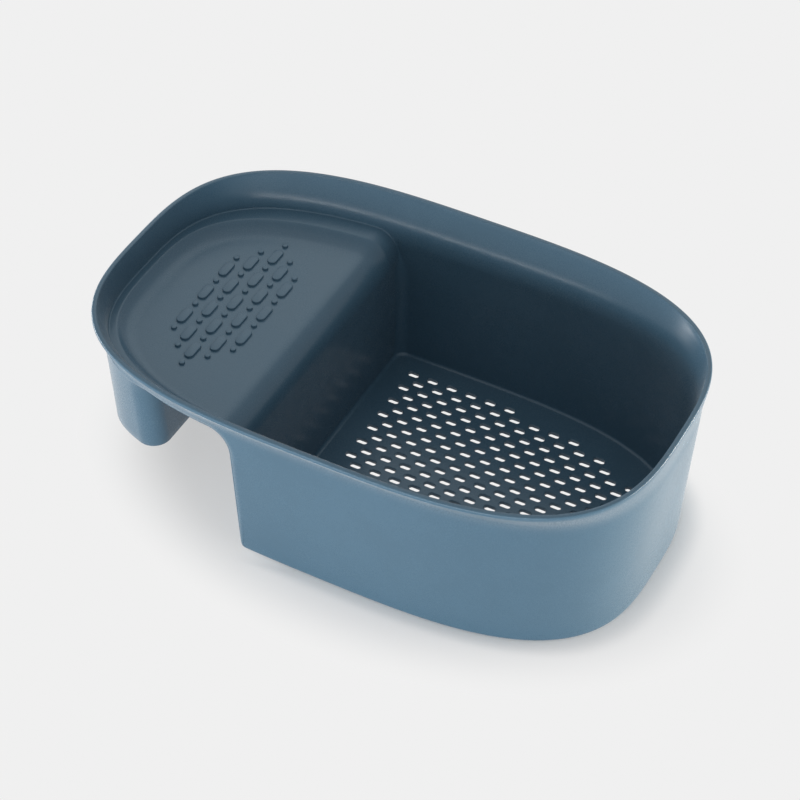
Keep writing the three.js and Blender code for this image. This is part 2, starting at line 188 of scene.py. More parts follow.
# ---- the wall, its lip and its lower edge ----------------------------------------------------
RIM_ROUND, RIM_INNER_DROP = 0.8, 0.6     # round of the rim's edges, and the share the inner one drops
STRIP_FLUSH, STRIP_FADE = -109.0, 16.0   # x up to which strip and leg are flush, and the way over
BASE_ALONG, BASE_THROUGH = 1.8, 1.7      # rounding of the lower edge, along the wall and through it
GAP_ALONG, GAP_THROUGH = 2.2, 0.6        # what the edge beside the saddle gap has more
STRIP_ALONG, STRIP_THROUGH = 4.0, 2.3    # rounding of the strip's lower edge
FLUSH_ROUND = 0.02                       # what is left of it where strip and leg are flush
BASE_POINTS, CORNER_POINTS, UPRIGHT_POINTS, ARCH_POINTS, STRIP_POINTS = 110, 11, 34, 22, 120
EDGE_POINTS, HEIGHT_POINTS, RIM_POINTS = 9, 44, 11
FAN_POINTS, FAN_CORNER = 40, 6           # columns that spread out before the gap, and at its corner
FAN_X = (-6.0, -9.0, -39.0, -58.0)       # where the spread columns meet the lip
SWING = 1.2                              # above 1: a column has swung over to the lip before the rim
NO_TURN = 1e-9                           # below it a direction counts as upright
GROWTH_START, GROWTH_POINTS = 4.0, 20.0  # where the edge's rounding grows beside the gap


def strip_proud(x):
    """How far the strip stands proud of the leg: 0 where they are flush, 1 past the corner."""
    return smooth((x - STRIP_FLUSH) / STRIP_FADE)


def lower_edge():
    """Lower edge of the wall on the back side, from the basket's end to the leg's end.

    Base line, small corner, upright edge at the divider, arch, then the strip over the leg. Gives
    angle, height, the direction (dx, dz) into the wall, the size of the edge's rounding along the
    wall and through it, and the angle at which the column of points meets the lip.
    """
    base = np.linspace(0.0, wall_angle(EDGE_X + LOWER_CORNER, 0.0), BASE_POINTS)
    turn = quarter_turn(CORNER_POINTS)[1:]
    rise = np.linspace(LOWER_CORNER, ROLL_Z, UPRIGHT_POINTS)[1:]
    lean = quarter_turn(ARCH_POINTS)[1:]
    strip = np.linspace(wall_angle(ROLL_X, LEDGE_UNDER), np.pi, STRIP_POINTS)[1:]
    reach = ROLL_RADIUS - WALL + LEDGE_STEP * smooth(lean / QUARTER)
    x = np.concatenate([EDGE_X + LOWER_CORNER * (1.0 - np.sin(turn)), EDGE_X - DIVIDER_DRAFT * rise,
                        ROLL_X + reach * np.cos(lean)])
    z = np.concatenate([LOWER_CORNER * (1.0 - np.cos(turn)), rise, ROLL_Z + reach * np.sin(lean)])
    angle = np.concatenate([base, wall_angle(x, z), strip])
    z = np.concatenate([0.0 * base, z, 0.0 * strip + LEDGE_UNDER])
    facing = np.concatenate([0.0 * base + QUARTER, QUARTER - turn, 0.0 * rise, lean,
                             0.0 * strip + QUARTER])
    x = wall_point(angle, z, 0.0)[:, 0]

    gap, over = len(base), len(angle) - len(strip)
    along, through = np.full(len(angle), BASE_ALONG), np.full(len(angle), BASE_THROUGH)
    up = smooth((np.arange(over - gap) - GROWTH_START) / GROWTH_POINTS)
    along[gap:over] += GAP_ALONG * up
    through[gap:over] += GAP_THROUGH * up
    proud = strip_proud(x[over:])
    along[over:] = FLUSH_ROUND + (STRIP_ALONG - FLUSH_ROUND) * proud
    through[over:] = FLUSH_ROUND + (STRIP_THROUGH - FLUSH_ROUND) * proud

    count, first = np.arange(len(angle)), gap - FAN_POINTS
    places = [first, gap, gap + FAN_CORNER, over - ARCH_POINTS, over]
    fan = np.interp(count, places, [x[first], *FAN_X])
    spread = (count >= first) & (count <= over)
    lip_angle = np.where(spread, wall_angle(fan, LIP_START), angle)
    return angle, z, np.cos(facing), np.sin(facing), along, through, lip_angle


def wall_grid():
    """Closed ring of profiles: lower edge, outside, rim, inside and back to the lower edge.

    A column of points starts at the lower edge, goes round its elliptic rounding, up the wall in
    even steps of height with its angle swinging over to the lip's, over the rounded rim and down
    the inside.
    """
    angle, z, dx, dz, along, through, lip_angle = lower_edge()
    x = wall_point(angle, z, 0.0)[:, 0]
    rows = [wall_point(angle, z, 1.0)]
    for turn in quarter_turn(EDGE_POINTS):
        off = along * (1.0 - np.cos(turn))
        edge_angle = np.where(dx > NO_TURN, wall_angle(x + off * dx, z + off * dz), angle)
        rows.append(wall_point(edge_angle, z + off * dz, through / WALL * (1.0 - np.sin(turn))))
    edge_z = z + along * dz
    climb = np.linspace(0.0, 1.0, HEIGHT_POINTS)
    for step in climb[1:]:
        height = edge_z + (RIM_TOP - RIM_EDGE - edge_z) * step
        swung = edge_angle + (lip_angle - edge_angle) * smooth(step * SWING)
        rows.append(wall_point(swung, height, 0.0))
    for turn in np.linspace(0.0, np.pi, RIM_POINTS):
        inset, drop = RIM_ROUND * (1.0 - np.cos(turn)), RIM_ROUND * (1.0 - np.sin(turn))
        if turn >= QUARTER:
            inset, drop = RIM_LAND - RIM_ROUND * (1.0 + np.cos(turn)), drop * RIM_INNER_DROP
        px, py = outline(lip_angle, RIM_LENGTH, RIM_WIDTH, RIM_SQUARENESS, inset)
        rows.append(np.stack([px, py, 0.0 * px + RIM_TOP - drop], -1))
    for step in climb[-2:0:-1]:
        height = z + (RIM_TOP - z) * step
        swung = angle + (lip_angle - angle) * smooth(step * SWING)
        rows.append(wall_point(swung, height, 1.0))
    half = np.stack(rows)
    return np.concatenate([half, half[:, -2:0:-1] * MIRROR], axis=1)


basket_wall = ring_piece("basket_wall", wall_grid())


# ---- the tray: deck, ledge, rolled edge and divider ------------------------------------------
ROLL_POINTS, DIVIDER_POINTS, DECK_POINTS = 28, 16, 90
DECK_MIDDLE, DECK_FOLD = -100.0, 0.25    # end of the deck's middle line, and the spread it keeps
FOOT_CLEAR = 0.1                         # how far the divider's foot round stays inside the wall's
LEDGE_RINGS = (0.0, 0.17, 0.34)          # shares of the ledge's width
DECK_RINGS = (0.8, 0.6, 0.4, 0.2, 0.0)   # shares of the deck's width
ROUND_TOP, ROUND_FADE = 68.0, 14.0       # height at which the corner's round has run out, and its run
ROUND_POINTS, ROUND_START = 12, 2        # points of its profile, point of the line where it starts
CREST_IN, CREST_SHARE = (-0.8, -0.35, 0.0), (1.0, 0.99, 0.965)    # small round at the slope's crest
SLOPE_FIRST, SLOPE_POINTS = 0.04, 15     # share of the slope's width at its first point, its points
SLOPE_POWER = 2.6                        # how hollow the slope from the ledge to the deck is
# The whole slope: way in from the ledge's edge, and share of the step's height
SLOPE_IN = np.concatenate([CREST_IN, LEDGE_SLOPE * np.linspace(SLOPE_FIRST, 1.0, SLOPE_POINTS)])
SLOPE_LEFT = 1.0 - SLOPE_IN[len(CREST_IN):] / LEDGE_SLOPE
SLOPE_SHARE = np.concatenate([CREST_SHARE, SLOPE_LEFT ** SLOPE_POWER])


def tray_line(side, end, share=1.0, narrow=1.0, under=0.0):
    """Half line round the tray at set insets from the wall, from the divider's foot to the leg's end.

    It goes up the divider, over the roll's arc and round the squared oval. Its share of the ledge's
    height fades out down the roll. Narrow 1 is that line, 0 its fold on the middle. Under is the
    depth below the tray's upper face.
    """
    lean = np.linspace(np.arctan(DIVIDER_DRAFT), QUARTER, ROLL_POINTS)
    reach = ROLL_RADIUS + LEDGE_STEP * share * smooth(lean / QUARTER) - under
    roll_x, roll_z = ROLL_X + reach * np.cos(lean), ROLL_Z + reach * np.sin(lean)
    rise = np.linspace(0.0, 1.0, DIVIDER_POINTS)[:-1] ** 2
    foot = DIVIDER_FOOT - under
    x = np.concatenate([foot + (roll_x[0] - foot) * rise, roll_x])
    z = np.concatenate([roll_z[0] * rise, roll_z])
    y = inner_half_width(x, z) - side
    low = np.clip(LOWER_CORNER - z, 0.0, None)
    cut = LOWER_CORNER - np.sqrt(LOWER_CORNER ** 2 - low ** 2)
    x = x + min(under, WALL - FOOT_CLEAR) / WALL * cut
    length, width = wall_half_sizes(DECK_TOP)
    a, b = length - WALL - end, width - WALL - side
    swing = np.linspace(oval_angle(ROLL_X, a), np.pi, DECK_POINTS)
    round_x, round_y = outline(swing, a, b, WALL_SQUARENESS)
    fade = 1.0 - smooth(np.linspace(0.0, 2.0, DECK_POINTS))
    round_y = round_y + (y[-1] - round_y[0]) * fade
    middle = np.linspace(ROLL_X, DECK_MIDDLE, DECK_POINTS)
    round_x = middle + (round_x - middle) * (DECK_FOLD + (1.0 - DECK_FOLD) * narrow)
    return np.stack([np.concatenate([x[:-1], round_x]), np.concatenate([y[:-1], round_y]) * narrow,
                     np.concatenate([z[:-1], 0.0 * swing + roll_z[-1]])], -1)


def tray_ring(back, front, end, *line):
    """Line along the tray's back side and on along its front side, each at its own inset."""
    front_line = tray_line(front, end, *line)[-2::-1] * MIRROR
    return np.concatenate([tray_line(back, end, *line), front_line])


def tray_face(under):
    """Rings of one face of the tray: ledge, hollow slope, then the deck folded on its middle line."""
    def slope_ring(way, shift, share, narrow):
        """Ring at a way in from the ledge's edge."""
        return tray_ring(LEDGE_SIDE + way - shift, LEDGE_FRONT + FRONT_SLOPE * way - shift,
                         LEDGE_END + way - shift, share, narrow, under)

    shift = LEDGE_UNDERCUT * under / WALL
    rings = [tray_ring(-BURIED, -BURIED, -BURIED, 1.0, 1.0, under)]
    rings += [tray_ring(part * LEDGE_SIDE, part * LEDGE_FRONT, part * LEDGE_END, 1.0, 1.0, under)
              for part in LEDGE_RINGS]
    rings += [slope_ring(way, shift, share, 1.0) for way, share in zip(SLOPE_IN, SLOPE_SHARE)]
    rings += [slope_ring(LEDGE_SLOPE, 0.0, 0.0, narrow) for narrow in DECK_RINGS]
    return np.stack(rings)


def tray_sheet():
    """Two faces, WALL apart, joined along the buried edge and the divider's feet."""
    top, low = tray_face(0.0), tray_face(WALL)
    rows, columns = top.shape[:2]
    faces = grid_faces(rows, columns) + grid_faces(rows, columns, first=rows * columns)
    points = [top.reshape(-1, 3), low.reshape(-1, 3)]
    for edge in ((top[0], low[0]), (top[:, 0], low[:, 0]), (top[:, -1], low[:, -1])):
        strip = np.stack(edge)
        faces += grid_faces(*strip.shape[:2], first=sum(len(p) for p in points))
        points.append(strip.reshape(-1, 3))
    return make_piece("tray_sheet", np.concatenate(points), faces)


def tray_round():
    """Hollow round where the tray meets the wall: wide at the divider, narrow along the ledge.

    Each profile is a hollow quarter round and its buried corners. It is set up on the tray's outer
    line, along the line's directions into the tray and off its face.
    """
    line, inward, off = (tray_line(way, way, 1.0, 1.0, -rise)[ROUND_START:]
                         for way, rise in ((0.0, 0.0), (1.0, 0.0), (0.0, 1.0)))
    inward, off = inward - line, off - line
    low = smooth((ROUND_TOP - line[None, :, 2]) / ROUND_FADE)
    radius = LEDGE_ROUND + (CORNER_ROUND - LEDGE_ROUND) * low
    turn, sunk = quarter_turn(ROUND_POINTS)[:, None], 0.0 * radius - SUNK
    inset = np.concatenate([radius * (1.0 - np.sin(turn)), sunk, sunk, radius])
    rise = np.concatenate([radius * (1.0 - np.cos(turn)), radius, sunk, sunk])
    half = line + inset[..., None] * inward + rise[..., None] * off
    grid = np.concatenate([half, half[:, -2::-1] * MIRROR], axis=1)
    rows, columns = grid.shape[:2]
    faces = grid_faces(rows, columns, wrap_rows=True)
    faces += [(np.arange(rows) * columns + column).tolist() for column in (0, columns - 1)]
    return make_piece("tray_round", grid, faces, crease=SOFT_CREASE)


tray = tray_sheet()
tray_edge = tray_round()


# ---- the grips on the deck -------------------------------------------------------------------
GRIP_LINES, GRIP_STEPS = 2, 5            # lines and places on each side of the lozenge's middle
GRIP_POINTS, GRIP_EDGE = 20, 0.35        # points round a grip, and the round of its upper edge
GRIP_EDGE_POINTS, GRIP_CREASE = 5, 50.0  # points up that round, degrees of a hard edge
GRIP_FLARE, GRIP_FLARE_Z = (-0.3, -0.08), (-0.2, 0.06)    # way in and height of its foot's two rings


def grip_pattern():
    """Rows of capsules and dots in a lozenge: stadium outlines carried up a rounded profile."""
    lines, steps = np.arange(-GRIP_LINES, GRIP_LINES + 1), np.arange(-GRIP_STEPS, GRIP_STEPS + 1)
    line, step = [m.ravel() for m in np.meshgrid(lines, steps, indexing="ij")]
    kept = np.abs(step) <= GRIP_STEPS - np.abs(line)
    line, step = line[kept], step[kept]
    dot = (line + step) % 2 == 1
    radius = np.where(dot, DOT_WIDTH, CAPSULE_WIDTH)[:, None, None] / 2.0
    straight = np.where(dot, 0.0, (CAPSULE_LENGTH - CAPSULE_WIDTH) / 2.0)[:, None, None]
    angle = (np.arange(GRIP_POINTS) + 0.5) * 2.0 * np.pi / GRIP_POINTS
    turn = quarter_turn(GRIP_EDGE_POINTS)
    shrink = np.concatenate([GRIP_FLARE, GRIP_EDGE * (1.0 - np.cos(turn))])[None, :, None]
    height = np.concatenate([GRIP_FLARE_Z, GRIP_HEIGHT - GRIP_EDGE * (1.0 - np.sin(turn))])
    height = height[None, :, None]
    x = (radius - shrink) * np.cos(angle) + (GRIP_X + line * GRIP_LINE_PITCH)[:, None, None]
    y = (radius - shrink) * np.sin(angle) + np.sign(np.sin(angle)) * straight
    y = y + (step * GRIP_PITCH)[:, None, None]
    points = np.stack([x, y, DECK_TOP + height + 0.0 * x], -1)
    count, rows, columns = points.shape[:3]
    side = np.array(grid_faces(rows, columns, wrap_columns=True))
    first = np.arange(count)[:, None, None] * rows * columns
    faces = (side[None] + first).reshape(-1, 4).tolist()
    ends = np.stack([np.arange(columns), (rows - 1) * columns + np.arange(columns)])
    faces += (ends[None] + first).reshape(-1, columns).tolist()
    return make_piece("grip_pattern", points, faces, crease=GRIP_CREASE)


grips = grip_pattern()


# ---- the floor with its drain slots, and the round where it meets the wall --------------------
SLOT_POINTS, SLOT_BREAK = 16, 0.35       # points round a slot, and the break of its upper edge
SLOT_ROWS, SLOT_PLACES = 12, 16          # rows on each side of the middle, places along a row
LOOP_POINTS, LOOP_CORNER, LOOP_LINE = 150, 10, 24    # points of the floor's oval, corner and line
PLATE_BURIED, PLATE_CORNER = 0.4 * BURIED, 0.5       # run into the wall, and the round of its corners
SLOT_STRAIGHT = (SLOT_LENGTH - SLOT_WIDTH) / 2.0
SLOT_SLACK = 0.02                        # keeps thin triangles beside a slot in the plate
FLAT_JOIN = 1e-6                         # plan points that count as one
BANK_SUNK = 0.1                          # how far the bank's upper end runs into the wall
FLOOR_ROUND_POINTS, BANK_POINTS = 10, 16


def slot_centres():
    """Centres of the staggered slots: rows at half pitches, kept inside an oval in from the wall."""
    length, width = wall_half_sizes(0.0)
    a, b = length - WALL - SLOT_MARGIN, width - WALL - SLOT_MARGIN
    rows, places = np.arange(-SLOT_ROWS, SLOT_ROWS), np.arange(SLOT_PLACES)
    row, place = [m.ravel() for m in np.meshgrid(rows, places, indexing="ij")]
    x = DIVIDER_FOOT + SLOT_MARGIN + SLOT_PITCH * (place + 0.5 * (row % 2 == 0))
    y = (row + 0.5) * SLOT_ROW
    end = x + SLOT_LENGTH / 2.0
    kept = np.abs(end / a) ** WALL_SQUARENESS + np.abs(y / b) ** WALL_SQUARENESS < 1.0
    return np.stack([x[kept], y[kept]], -1)


def floor_loop(side, end, z, corner):
    """Loop round the floor at set insets: inner wall's oval, round corners, divider's line."""
    length, width = wall_half_sizes(z)
    a, b = length - WALL - end, width - WALL - side
    foot = DIVIDER_FOOT - DIVIDER_DRAFT * z + end
    limit = oval_angle(foot + corner, a)
    x, y = outline(np.linspace(-limit, limit, LOOP_POINTS), a, b, WALL_SQUARENESS)
    turn = quarter_turn(LOOP_CORNER)[1:]
    corner_x = foot + corner * (1.0 - np.sin(turn))
    corner_y = b * across(corner_x, a) - corner * (1.0 - np.cos(turn))
    line = np.linspace(1.0, -1.0, LOOP_LINE)[1:-1] * corner_y[-1]
    return (np.concatenate([x, corner_x, 0.0 * line + foot, corner_x[::-1]]),
            np.concatenate([y, corner_y, line, -corner_y[::-1]]))


def drain_plate():
    """Flat plate between its outline and the slots' round-ended loops.

    The upper face is laid out in triangles between the loops, the lower one repeats them, and the
    walls between go down in two steps, the first of which breaks the slots' upper edges.
    """
    centres = slot_centres()
    angle = (np.arange(SLOT_POINTS) + 0.5) * 2.0 * np.pi / SLOT_POINTS
    unit = np.stack([np.cos(angle), np.sin(angle)], -1)
    straight = np.stack([np.sign(np.cos(angle)) * SLOT_STRAIGHT, 0.0 * angle], -1)
    rim = np.stack(floor_loop(-PLATE_BURIED, -PLATE_BURIED, 0.0, PLATE_CORNER), -1)

    def level(grow):
        """The outline and the slots' loops at one height, the slots grown by a width."""
        slots = centres[:, None] + straight + unit * (SLOT_WIDTH / 2.0 + grow)
        return np.concatenate([rim, slots.reshape(-1, 2)])

    wide, plain = level(SLOT_BREAK), level(0.0)
    slot_loops = len(rim) + np.arange(len(centres) * SLOT_POINTS).reshape(-1, SLOT_POINTS)
    loops = [np.arange(len(rim)), *slot_loops]
    edges = np.concatenate([np.stack([loop, np.roll(loop, -1)], -1) for loop in loops])
    flat = delaunay_2d_cdt([Vector(p) for p in wide.tolist()], edges.tolist(), [], 1, FLAT_JOIN)
    source = np.array([ids[0] for ids in flat[3]])
    triangles = source[np.array(flat[2])]
    away = np.abs(wide[triangles].mean(axis=1)[:, None] - centres[None])
    beside = np.clip(away[..., 0] - SLOT_STRAIGHT, 0.0, None)
    clear = SLOT_WIDTH / 2.0 + SLOT_BREAK - SLOT_SLACK
    triangles = triangles[(np.hypot(beside, away[..., 1]) > clear).all(axis=1)]
    size = len(wide)
    heights = (FLOOR, FLOOR - SLOT_BREAK, FLOOR - PLATE)
    points = np.concatenate([np.column_stack([flat_level, np.full(size, z)])
                             for flat_level, z in zip((wide, plain, plain), heights)])
    walls = np.concatenate([np.column_stack([edges, edges[:, ::-1] + size]) + level_first
                            for level_first in (0, size)])
    faces = triangles.tolist() + (triangles + 2 * size).tolist() + walls.tolist()
    return make_piece("drain_plate_slotted", points, faces)


def floor_round():
    """Hollow quarter round carried along the floor's loop.

    Along the sides it stands on the foot of a bank, which leans back onto the wall by the square of
    the way up.
    """
    turn, up = quarter_turn(FLOOR_ROUND_POINTS), np.linspace(0.0, 1.0, BANK_POINTS)[1:]
    inward, over = FLOOR_ROUND * (1.0 - np.sin(turn)), FLOOR_ROUND * (1.0 - np.cos(turn))
    bank = FLOOR_BANK * (1.0 - up) ** 2 - BANK_SUNK * up
    end = np.concatenate([inward, -SUNK * up, [-SUNK, FLOOR_ROUND]])
    side = np.concatenate([FLOOR_BANK + inward, bank, [-SUNK, FLOOR_BANK + FLOOR_ROUND]])
    rise = np.concatenate([over, FLOOR_ROUND + BANK_HEIGHT * up, [-SUNK, -SUNK]])
    rows = []
    for side_in, end_in, z in zip(side, end, rise + FLOOR):
        x, y = floor_loop(side_in, end_in, z, CORNER_ROUND)
        rows.append(np.stack([x, y, 0.0 * x + z], -1))
    return ring_piece("floor_round", np.stack(rows), crease=SOFT_CREASE)


plate = drain_plate()
rounding = floor_round()


# ---- the hook leg ----------------------------------------------------------------------------
LEG_END_POINTS, LEG_CORNER_POINTS, LEG_TURN_POINTS, LEG_FACE_POINTS = 40, 22, 26, 12
FOOT_ROUND, FOOT_POINTS = 1.15, 9
FLARE_HEIGHT = 11.0                      # height of the swing out to the strip
FLARE_WHOLE, FLARE_FADE = 1.5, 8.0       # a swing up to this width is whole, a wider one fades
HEAD_SUNK = 0.8                          # how far the leg's upper end runs into the tray's sheet
HEAD_START, HEAD_FADE = 0.4, 2.5         # it does so only where it has left the strip by this much
# Heights of the loops as shares of the leg's height, close to each other at the top
LEG_CLIMB = np.concatenate([np.linspace(1.0, 0.76, 12), np.linspace(0.7, 0.0, 8)])


def leg_loop(z, inset):
    """Half loop of the leg at a height and an inset.

    End wall's oval, cubic turn to the cheek, round corner, inner face.
    """
    face = LEG_FACE - LEG_DRAFT * (DECK_UNDER - z) - inset
    half = LEG_HALF + CHEEK_DRAFT * (z - LEG_FOOT) - inset
    length, width = wall_half_sizes(z)
    a, b = length - inset, width - inset
    leave_y = half - LEG_BLEND
    leave_x = -a * across(leave_y, b)
    swing = np.linspace(np.pi, np.arctan2(leave_y / b, leave_x / a), LEG_END_POINTS)
    x, y = outline(swing, a, b, WALL_SQUARENESS)
    corner = LEG_CORNER - inset
    bend = np.linspace(QUARTER + CHEEK_TURN, 0.0, LEG_CORNER_POINTS)
    round_x = face - corner + corner * np.cos(bend)
    round_y = half - corner + corner * np.sin(bend)
    pull = math.hypot(round_x[0] - x[-1], round_y[0] - y[-1]) / 3.0
    lead = pull / math.hypot(x[-1] - x[-2], y[-1] - y[-2])
    t = np.linspace(0.0, 1.0, LEG_TURN_POINTS)[1:-1]
    weights = np.stack([(1 - t) ** 3, 3 * t * (1 - t) ** 2, 3 * t * t * (1 - t), t ** 3])
    turn_x = weights.T @ np.array([x[-1], x[-1] + lead * (x[-1] - x[-2]),
                                   round_x[0] - pull * math.cos(CHEEK_TURN), round_x[0]])
    turn_y = weights.T @ np.array([y[-1], y[-1] + lead * (y[-1] - y[-2]),
                                   round_y[0] - pull * math.sin(CHEEK_TURN), round_y[0]])
    line = np.linspace(1.0, 0.0, LEG_FACE_POINTS)[1:]
    x = np.concatenate([x, turn_x, round_x, 0.0 * line + face])
    y = np.concatenate([y, turn_y, round_y, (half - corner) * line])
    return x, y


def oval_gap(x, y, end, side):
    """About how far a plan point lies inside the inner wall's oval drawn in by the given insets.

    It is 1 less the point's level, over the slope of the level, which is 1 all along the oval.
    """
    length, width = wall_half_sizes(DECK_TOP)
    a, b, n = length - WALL - end, width - WALL - side, WALL_SQUARENESS
    level = (np.abs(x / a) ** n + np.abs(y / b) ** n) ** (1.0 / n)
    slope = np.hypot(np.abs(x / a) ** (n - 1.0) / a, np.abs(y / b) ** (n - 1.0) / b)
    return (1.0 - level) / (slope * level ** (1.0 - n))


def oval_normal(x, y):
    """Outward direction in plan at a point: the slope of |x/length|^n + |y/width|^n, made 1 long."""
    length, width = wall_half_sizes(DECK_TOP)
    nx = np.sign(x) * np.abs(x / length) ** (WALL_SQUARENESS - 1.0) / length
    ny = np.sign(y) * np.abs(y / width) ** (WALL_SQUARENESS - 1.0) / width
    size = np.hypot(nx, ny)
    return nx / size, ny / size


def leg_half(side, slope):
    """One side of the hollow leg, under a ledge of the given width and slope.

    Loops are stacked from inside the tray's sheet to a rounded foot and up the inside again. Each is
    drawn between the leg's lowest and highest loops in even steps up to the underside of the tray.
    Under the strip's lower edge the skin swings out to it in a hollow quarter round, and where the
    leg is flush with the end wall it stops at that edge.
    """
    turn, level = np.linspace(0.0, np.pi, FOOT_POINTS), 0.0 * LEG_CLIMB
    insets = np.concatenate([level, WALL / 2.0 * (1.0 - np.cos(turn)), level + WALL])
    steps = np.concatenate([LEG_CLIMB, 0.0 * turn, LEG_CLIMB[::-1]])
    lows = np.concatenate([level, -FOOT_ROUND * np.sin(turn), level]) + LEG_FOOT + FOOT_ROUND
    side, end = side - LEDGE_UNDERCUT, LEDGE_END - LEDGE_UNDERCUT
    rows = []
    for inset, step, low in zip(insets, steps, lows):
        foot_x, foot_y = leg_loop(low, inset)
        head_x, head_y = leg_loop(LEDGE_UNDER, inset)
        past = oval_gap(head_x, head_y, end, side)
        short = oval_gap(head_x, head_y, end + LEDGE_SLOPE, side + slope)
        way = LEDGE_SLOPE * past / (past - short)
        inside = oval_gap(head_x, head_y, -WALL, -WALL) - inset
        out = np.clip(inside - STRIP_THROUGH * strip_proud(head_x), 0.0, None)
        out = out * (1.0 - smooth((out - FLARE_WHOLE) / FLARE_FADE))
        buried = HEAD_SUNK * smooth((inside + inset - out - HEAD_START) / HEAD_FADE)
        top = DECK_UNDER + LEDGE_STEP * np.interp(way, SLOPE_IN, SLOPE_SHARE) + buried
        z = low + (top - low) * step
        share = (z - low) / (LEDGE_UNDER - low)
        near = np.clip(1.0 - (LEDGE_UNDER - z) / FLARE_HEIGHT, 0.0, 1.0)
        out = out * (1.0 - np.sqrt(1.0 - near ** 2))
        nx, ny = oval_normal(head_x, head_y)
        rows.append(np.stack([foot_x + (head_x - foot_x) * share + out * nx,
                              foot_y + (head_y - foot_y) * share + out * ny, z], -1))
    return np.stack(rows)


def hook_leg():
    """Closed ring of the leg's back half and its front half, which lies under the narrower ledge."""
    back, front = leg_half(LEDGE_SIDE, LEDGE_SLOPE), leg_half(LEDGE_FRONT, FRONT_SLOPE * LEDGE_SLOPE)
    return ring_piece("hook_leg_skin", np.concatenate([back, front[:, -2:0:-1] * MIRROR], axis=1))


leg = hook_leg()


# ---- finish ----------------------------------------------------------------------------------
DEEP_BLUE, PALE_BLUE = (0.0595, 0.1215, 0.177, 1.0), (0.0635, 0.1285, 0.187, 1.0)
CLOUD_SCALE, GRAIN_SCALE = 28.0, 2600.0  # per metre
CLOUD_ROUGHNESS, GRAIN_ROUGHNESS = (0.24, 0.30), (-0.03, 0.03)
GRAIN_STRENGTH, GRAIN_HEIGHT = 0.12, 0.00006
NOISE_RANGE = (0.3, 0.7)                 # middle range of the noise


def settle(node, values):
    """Sets a node's sockets by name."""
    for name, value in values.items():
        node.inputs[name].default_value = value


def reckon(tree, operation, *sources, kind="ShaderNodeMath", output="Value"):
    """One step of arithmetic on its sources."""
    node = tree.nodes.new(kind)
    node.operation = operation
    for socket, source in zip(node.inputs, sources):
        tree.links.new(source, socket)
    return node.outputs[output]


def remap(tree, source, near, far, low, high, curve="LINEAR"):
    """Value that goes from low to high while its source goes from near to far."""
    node = tree.nodes.new("ShaderNodeMapRange")
    node.interpolation_type = curve
    settle(node, {"From Min": near, "From Max": far, "To Min": low, "To Max": high})
    tree.links.new(source, node.inputs["Value"])
    return node.outputs["Result"]


def satin_plastic():
    """Satin dusk-blue moulding: fine grain, cloudy roughness, a faint change of tone."""
    material = bpy.data.materials.new("satin_plastic")
    material.use_nodes = True
    tree = material.node_tree
    nodes, links = tree.nodes, tree.links
    shader = nodes["Principled BSDF"]
    settle(shader, {"IOR": 1.5, "Specular IOR Level": 0.3})
    settle(shader, {"Sheen Weight": 0.3, "Sheen Roughness": 0.3})
    place = nodes.new("ShaderNodeTexCoord").outputs["Object"]

    def noise(scale, detail):
        """Noise over the piece, its scale per metre."""
        node = nodes.new("ShaderNodeTexNoise")
        settle(node, {"Scale": scale, "Detail": detail})
        links.new(place, node.inputs["Vector"])
        return node.outputs["Fac"]

    def spread(source, low, high):
        """The noise's middle range drawn out from low to high."""
        return remap(tree, source, *NOISE_RANGE, low, high)

    cloud, grain = noise(CLOUD_SCALE, 3.0), noise(GRAIN_SCALE, 1.0)
    tone = nodes.new("ShaderNodeMix")
    tone.data_type = "RGBA"
    settle(tone, {"A": DEEP_BLUE, "B": PALE_BLUE})
    links.new(spread(cloud, 0.0, 1.0), tone.inputs["Factor"])
    links.new(tone.outputs["Result"], shader.inputs["Base Color"])
    rough = reckon(tree, "ADD", spread(cloud, *CLOUD_ROUGHNESS), spread(grain, *GRAIN_ROUGHNESS))
    links.new(rough, shader.inputs["Roughness"])
    bump = nodes.new("ShaderNodeBump")
    settle(bump, {"Strength": GRAIN_STRENGTH, "Distance": GRAIN_HEIGHT})
    links.new(grain, bump.inputs["Height"])
    links.new(bump.outputs["Normal"], shader.inputs["Normal"])
    return material


plastic = satin_plastic()
for piece in (basket_wall, tray, tray_edge, grips, plate, rounding, leg):
    piece.data.materials.append(plastic)
    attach(piece, "root")
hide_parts("outer_shell")
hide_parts("saddle_tray")
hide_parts("drain_plate")
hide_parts("hook_leg")


# ---- floor, light and camera, in metres ------------------------------------------------------
PAPER = 0.871                            # near white of the floor and the backdrop
FILL = 0.46                              # light from all round
FLOOR_HALF = 6.0                         # half size of the studio's floor
SHADOW_CENTRE, SHADOW_HALF = (0.01, -0.008, 0.0), (0.14, 0.09, 1.0)    # plan of the shadow
BASE_CENTRE, BASE_HALF = (0.0, 0.0, 0.0), (0.1425, 0.0834, 1.0)        # plan of the basket's foot
SENSOR, LENS = 36.0, 107.775             # millimetres
CAMERA_PLACE = (0.400189, -0.749728, 0.866816)
CAMERA_TURN = (46.1311, -0.2621, 28.2748)    # degrees


def seen_rays(tree):
    """1 for rays from the camera and from glossy faces, 0 for the others."""
    rays = tree.nodes.new("ShaderNodeLightPath").outputs
    return reckon(tree, "MAXIMUM", rays["Is Camera Ray"], rays["Is Glossy Ray"])


